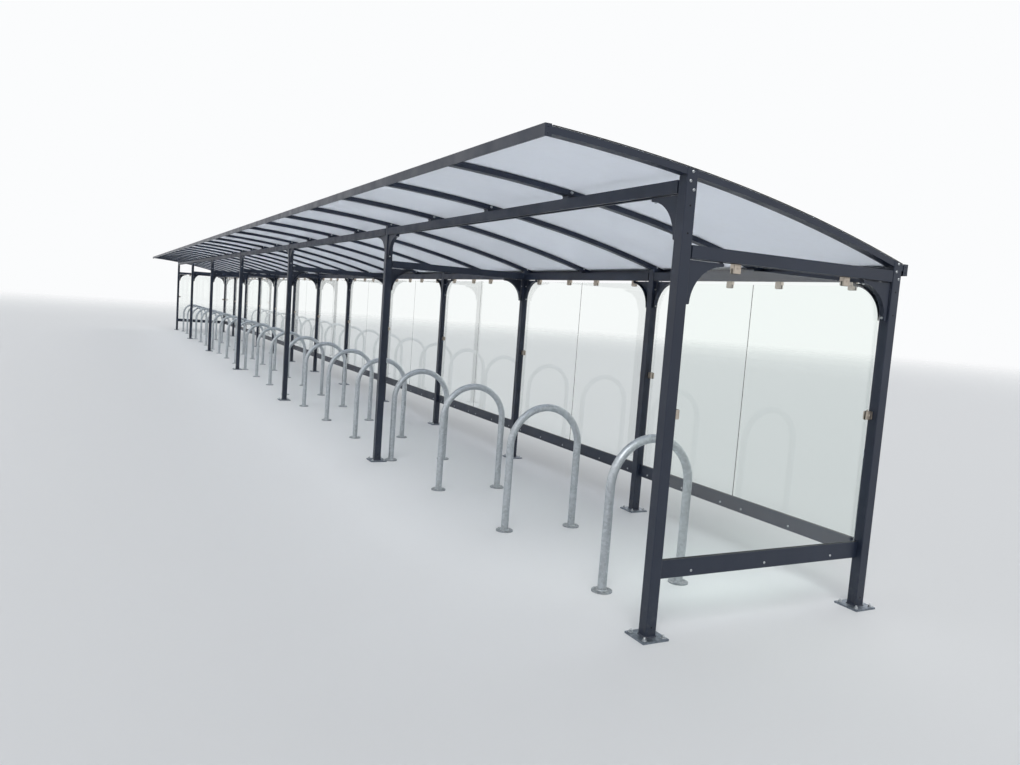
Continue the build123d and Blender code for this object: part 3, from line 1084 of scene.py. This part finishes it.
@dataclass
class BracketFixings:
    """Bolts of the curved corner brackets.

    Inner bolts are inner_reach from the corner, and tip bolts tip_margin from the end of the leg. The
    search for their seats starts as far inside the bracket as their look.
    """

    bolt: HexHead = HexHead(10 * MM, 4.5 * MM, washer=14 * MM, thickness=1.2 * MM)
    inner_reach: float = 68 * MM
    inner_look: float = 14 * MM
    tip_margin: float = 16 * MM
    tip_look: float = 80 * MM

    def build(self) -> None:
        """Put two bolts on each leg of every bracket."""
        piece = Piece("bracket_bolts")
        head = self.bolt.shape()
        posts = Node("front_posts").solids() + Node("rear_posts").solids()
        for name, axis in (("front_beam_brackets", 0), ("rear_beam_brackets", 0), ("cross_beam_brackets", 1)):
            node = Node(name)
            for block in node.solids():
                side = run_from_post(block, posts, axis)
                run = along(axis, side)
                corner = block.top
                corner[axis] = block.end(axis, -side)
                tip_reach = block.high.z - block.low.z - self.tip_margin
                for look, reach in ((self.inner_look, self.inner_reach), (self.tip_look, tip_reach)):
                    piece.seat(head, node, corner + run * look - UP * reach, -run)
                    piece.seat(head, node, corner - UP * look + run * reach, UP)
        piece.build()


@dataclass
class RoofFixings:
    """Bolts, pads, screws and seals of the roof.

    The heads of a strip's screws are screw_seat above the foot of their washers. The seal's profile
    says how far each corner is outside the strip's edge and below its top. The screws of an end cap
    are at shares of its height.
    """

    saddle_bolt: HexHead = HexHead(13 * MM, 5.5 * MM, washer=18 * MM, thickness=1.6 * MM)
    saddle_bolt_drop: float = 13 * MM
    pad_size: tuple[float, float] = (62 * MM, 58 * MM)
    pad_thickness: float = 4 * MM
    pad_corner: float = 3 * MM
    pad_bevel: float = 0.6 * MM
    screw: ButtonScrew = ButtonScrew(diameter=10 * MM, height=2.6 * MM, socket=3.5 * MM)
    screw_washer: tuple[Ring, ...] = (Ring(8 * MM, 0.0), Ring(8 * MM, 0.9 * MM), Ring(7 * MM, 1.4 * MM))
    screw_seat: float = 1.2 * MM
    screw_pitch: float = 310 * MM
    screw_margin: float = 45 * MM
    seal_profile: Pairs = (
        (-1.0 * MM, 0.4 * MM), (2.4 * MM, 0.4 * MM), (4 * MM, 3.6 * MM), (-1.0 * MM, 3.6 * MM),
    )
    seal_margin: float = 2 * MM
    seal_steps: int = 26
    cap_screw: ButtonScrew = ButtonScrew(diameter=9 * MM, height=2.4 * MM, socket=3 * MM)
    cap_screw_heights: tuple[float, ...] = (0.28, 0.78)

    def saddles(self) -> None:
        """Bolt the arches to their saddles and pad their seats."""
        bolts = Piece("saddle_bolts")
        pads = Piece("arch_pads", BLACK_RUBBER, Slot.RUBBER)
        head = self.saddle_bolt.shape()
        thick, bevel = self.pad_thickness, self.pad_bevel
        levels = ((bevel, -thick), (0.0, bevel - thick), (0.0, -bevel), (bevel, 0.0))
        pad = rounded_plate(*self.pad_size, self.pad_corner, levels)
        saddles = Node("arch_saddles")
        arches = Node("middle_arches")
        for saddle in saddles.solids():
            beside = Vector((saddle.high.x + SEARCH, saddle.middle.y, saddle.high.z - self.saddle_bolt_drop))
            bolts.seat(head, saddles, beside, along(0, -1))
            met = arches.meet(Vector((saddle.middle.x, saddle.middle.y, saddle.low.z - SEARCH)), UP)
            if met:
                pads.put(pad, facing(met[0], -met[1]))
        bolts.build()
        pads.build()

    def strips(self) -> None:
        """Screw the cover strips down and seal both their edges."""
        screws = Piece("strip_screws")
        seals = Piece("sheet_seals", BLACK_RUBBER, Slot.RUBBER)
        head = turned(self.screw_washer).take(self.screw.shape(), Matrix.Translation(UP * self.screw_seat))
        node = Node("cover_strips")
        for strip in node.solids():
            length = strip.high.y - strip.low.y - 2 * self.screw_margin
            gaps = round(length / self.screw_pitch)
            for k in range(gaps + 1):
                y = strip.low.y + self.screw_margin + k * length / gaps
                screws.seat(head, node, Vector((strip.middle.x, y, strip.high.z + SEARCH)), DOWN)
            for side in (-1, 1):
                seals.put(self.seal(node, strip, side))
        screws.build()
        seals.build()

    def seal(self, node: Node, strip: Block, side: int) -> Shape:
        """Build the seal along one edge of a strip, below its top.

        Args:
            node: Node of the strips.
            strip: Box of the strip.
            side: -1 or 1, the side that the seal is on.

        Returns:
            The seal, in place.
        """
        length = strip.high.y - strip.low.y - 2 * self.seal_margin
        loops = []
        for k in range(self.seal_steps + 1):
            y = strip.low.y + self.seal_margin + length * k / self.seal_steps
            met = node.meet(Vector((strip.middle.x, y, strip.high.z + SEARCH)), DOWN)
            if met:
                edge = Vector((strip.end(0, side), met[0].y, met[0].z))
                corners = [edge + along(0, side * out) - met[1] * down for out, down in self.seal_profile]
                loops.append(corners[::side])
        return stack(loops)

    def end_caps(self) -> None:
        """Screw the end caps on."""
        piece = Piece("end_cap_screws", POWDER_COAT, Slot.FRAME)
        screw = self.cap_screw.shape()
        node = Node("edge_end_caps")
        for cap in node.solids():
            side = 1 if cap.middle.x > 0 else -1
            for share in self.cap_screw_heights:
                z = cap.low.z + (cap.high.z - cap.low.z) * share
                start = Vector((cap.middle.x + side * SEARCH, cap.middle.y, z))
                piece.seat(screw, node, start, along(0, -side))
        piece.build()

    def build(self) -> None:
        """Make every fixing of the roof."""
        self.saddles()
        self.strips()
        self.end_caps()


@dataclass
class GlassFixings:
    """Bolts of the glass rails, and the faces and linings of the clamps.

    Bolts are bolt_height above the rail's underside. A clamp's raised face is clamp_margin inside its
    outline, and its levels pair inset and share of clamp_rise. Glass and lining sit lining_grip deep in
    a clamp, and the lining stands out by lining_edge. Its levels pair inset and height over the glass.
    """

    rail_bolt: ButtonScrew = ButtonScrew(diameter=14 * MM, height=4.5 * MM, socket=5 * MM)
    bolts_per_pane: int = 3
    rear_bolt_pitch: float = 410 * MM
    gable_bolt_pitch: float = 480 * MM
    bolt_height: float = 26 * MM
    clamp_screw: ButtonScrew = ButtonScrew(diameter=12 * MM, height=2.2 * MM, socket=5 * MM)
    clamp_size: float = 45 * MM
    clamp_margin: float = 1.5 * MM
    clamp_corner: float = 2.5 * MM
    clamp_rise: float = 1.4 * MM
    clamp_levels: Pairs = ((0.0, 0.0), (0.5 * MM, 1.0), (4 * MM, 1.0), (4.4 * MM, 0.35))
    clamp_screw_seat: float = 0.42 * MM
    pane_thickness: float = 8 * MM
    lining_grip: float = 24 * MM
    lining_edge: float = 1.4 * MM
    lining_corner: float = 2 * MM
    lining_levels: Pairs = (
        (0.25 * MM, 0.02 * MM), (0.0, 0.27 * MM), (0.0, 1.05 * MM), (0.25 * MM, 1.3 * MM),
    )
    corner_steps: int = 3

    def rails(self) -> None:
        """Put the bolts of every pane in a row along its rail, on both its faces."""
        piece = Piece("rail_bolts")
        head = self.rail_bolt.shape()
        for name, axis, panes, pitch in (
            ("rear_glass_rails", 0, 2, self.rear_bolt_pitch),
            ("gable_glass_rails", 1, 1, self.gable_bolt_pitch),
        ):
            node = Node(name)
            shifts = [(k - (self.bolts_per_pane - 1) / 2) * pitch for k in range(self.bolts_per_pane)]
            for rail in node.solids():
                pane = (rail.high[axis] - rail.low[axis]) / panes
                middles = [rail.low[axis] + (k + 0.5) * pane for k in range(panes)]
                for place in [middle + shift for middle in middles for shift in shifts]:
                    for side in (-1, 1):
                        start = rail.middle + along(1 - axis, side * SEARCH)
                        start[axis] = place
                        start.z = rail.low.z + self.bolt_height
                        piece.seat(head, node, start, along(1 - axis, -side))
        piece.build()

    def clamp_face(self) -> Shape:
        """Build the raised border of a clamp's face.

        Returns:
            The form, standing on the clamp.
        """
        size = self.clamp_size - 2 * self.clamp_margin
        levels = [(inset, self.clamp_rise * share) for inset, share in self.clamp_levels]
        return rounded_plate(size, size, self.clamp_corner, levels, self.corner_steps)

    def lining(self, hangs: bool) -> Shape:
        """Build the rubber between one jaw and the glass.

        Args:
            hangs: True for a clamp whose jaws point down, False for one whose jaws point sideways.

        Returns:
            The lining, lying on the glass.
        """
        deep = self.lining_grip + self.lining_edge
        wide = self.clamp_size + 2 * self.lining_edge
        width, height = (wide, deep) if hangs else (deep, wide)
        return rounded_plate(width, height, self.lining_corner, self.lining_levels, self.corner_steps)

    def clamps(self) -> None:
        """Face every clamp with its border and its screw, and line its jaws with rubber."""
        faces = Piece("clamp_faces", BRUSHED_STAINLESS, Slot.CLAMP)
        screws = Piece("clamp_screws", BRUSHED_STAINLESS, Slot.CLAMP)
        linings = Piece("clamp_linings", BLACK_RUBBER, Slot.RUBBER)
        face, screw = self.clamp_face(), self.clamp_screw.shape()
        posts = Node("front_posts").solids() + Node("rear_posts").solids()
        for name, across, hangs in (
            ("rear_top_clamps", 1, True), ("rear_side_clamps", 1, False),
            ("gable_top_clamps", 0, True), ("gable_side_clamps", 0, False),
        ):
            lining = self.lining(hangs)
            for clamp in Node(name).solids():
                free = DOWN if hangs else along(1 - across, run_from_post(clamp, posts, 1 - across))
                shift = free * (self.clamp_size + self.lining_edge - self.lining_grip) / 2
                for side in (-1, 1):
                    way = along(across, side)
                    point = clamp.middle
                    point[across] = clamp.end(across, side)
                    faces.put(face, facing(point, way))
                    screws.put(screw, facing(point + way * self.clamp_screw_seat, way))
                    linings.put(lining, facing(clamp.middle + way * self.pane_thickness / 2 + shift, way))
        faces.build()
        screws.build()
        linings.build()

    def build(self) -> None:
        """Make every fixing of the glass."""
        self.rails()
        self.clamps()


# The view and the light


@dataclass(frozen=True)
class Lamp:
    """Far lamp that gives every bay the same light, coming from way.

    Spread is the angle that it fills, in degrees: a wide one casts soft shadows.
    """

    name: str
    way: tuple[float, float, float]
    spread: float
    strength: float

    def hang(self) -> None:
        """Put the lamp into the scene."""
        data = bpy.data.lights.new(self.name, "SUN")
        data.angle = math.radians(self.spread)
        data.energy = self.strength
        add_object(self.name, data, (-Vector(self.way)).to_track_quat("-Z", "Y").to_matrix().to_4x4())


@dataclass
class Studio:
    """Camera at the photograph's viewing angle, floor and soft light.

    The camera stands at place. Yaw turns its view from -X towards +Y, pitch tilts it below the horizon
    and roll leans it, in degrees. The floor fades out between fade_start and floor_radius.
    """

    place: tuple[float, float, float] = (15.5805, -2.7456, 1.5185)
    yaw: float = 27.415
    pitch: float = 5.317
    roll: float = 4.2
    focal_pixels: float = 808.9
    sensor_mm: float = 36.0
    floor_radius: float = 60.0
    floor_sides: int = 96
    fade_start: float = 15.0
    floor_colour: str = "#e2e3e4"
    world_colour: str = "#eef2f7"
    world_strength: float = 0.5
    backdrop_colour: str = "#fbfcfd"
    lamps: tuple[Lamp, ...] = (
        Lamp("key_lamp", (0.55, -0.35, 0.85), spread=32.0, strength=1.25),
        Lamp("fill_lamp", (-0.5, 0.7, 0.75), spread=45.0, strength=0.45),
    )

    def camera(self) -> None:
        """Make the camera."""
        yaw, pitch, roll = (math.radians(a) for a in (self.yaw, self.pitch, self.roll))
        ahead = Vector((-math.cos(yaw) * math.cos(pitch), math.sin(yaw) * math.cos(pitch), -math.sin(pitch)))
        side = ahead.cross(UP).normalized()
        above = side.cross(ahead)
        right = side * math.cos(roll) + above * math.sin(roll)
        top = above * math.cos(roll) - side * math.sin(roll)
        turn = Matrix((right, top, -ahead)).transposed().to_4x4()
        data = bpy.data.cameras.new("photo_camera")
        data.sensor_width = self.sensor_mm
        data.lens = self.sensor_mm * self.focal_pixels / PHOTO_WIDTH
        data.clip_end = 4 * self.floor_radius
        bpy.context.scene.camera = add_object("photo_camera", data, Matrix.Translation(self.place) @ turn)

    def floor(self) -> None:
        """Make the plain pale floor, which fades into the white backdrop far from the shelter."""
        mesh = bpy.data.meshes.new("floor")
        mesh.from_pydata(circle(self.floor_radius, self.floor_sides), [], [tuple(range(self.floor_sides))])
        material = bpy.data.materials.new("studio_floor")
        material.use_nodes = True
        mesh.materials.append(material)
        tree = material.node_tree
        place = add_node(tree, "ShaderNodeTexCoord", {}).outputs["Object"]
        reach = add_node(tree, "ShaderNodeVectorMath", {0: place}, operation="LENGTH")
        fade = add_node(tree, "ShaderNodeMapRange", {
            "Value": reach.outputs["Value"], "From Min": self.fade_start, "From Max": self.floor_radius,
            "To Min": 1.0, "To Max": 0.0,
        }, interpolation_type="SMOOTHSTEP")
        feed(tree, tree.nodes["Principled BSDF"], {
            "Base Color": self.floor_colour, "Roughness": 0.9, "Specular IOR Level": 0.2,
            "Alpha": fade.outputs["Result"],
        })
        add_object("floor", mesh)

    def backdrop(self) -> None:
        """Light the scene evenly from the world and show a white backdrop behind it."""
        world = bpy.data.worlds.new("studio")
        world.use_nodes = True
        tree = world.node_tree
        path = add_node(tree, "ShaderNodeLightPath", {})
        seen = path.outputs["Is Camera Ray"]
        for ray in ("Is Glossy Ray", "Is Transmission Ray"):
            either = add_node(tree, "ShaderNodeMath", {0: seen, 1: path.outputs[ray]}, operation="MAXIMUM")
            seen = either.outputs["Value"]
        light = tree.nodes["Background"]
        feed(tree, light, {"Color": self.world_colour, "Strength": self.world_strength})
        white = add_node(tree, "ShaderNodeBackground", {"Color": self.backdrop_colour, "Strength": 1.0})
        shown = add_node(tree, "ShaderNodeMixShader", {
            0: seen, 1: light.outputs["Background"], 2: white.outputs["Background"],
        })
        feed(tree, tree.nodes["World Output"], {"Surface": shown.outputs["Shader"]})
        bpy.context.scene.world = world

    def build(self) -> None:
        """Set up camera, floor, lamps and world."""
        self.camera()
        self.floor()
        for lamp in self.lamps:
            lamp.hang()
        self.backdrop()
        bpy.context.scene.view_settings.view_transform = "Standard"


def main() -> None:
    """Dress the shelter and set up its view."""
    logging.basicConfig(level=logging.INFO, format="%(name)s: %(message)s")
    for assembly in (
        Frame(), Anchors(), PostFixings(), BracketFixings(), RoofFixings(), GlassFixings(), Studio(),
    ):
        assembly.build()


if __name__ == "__main__":
    main()
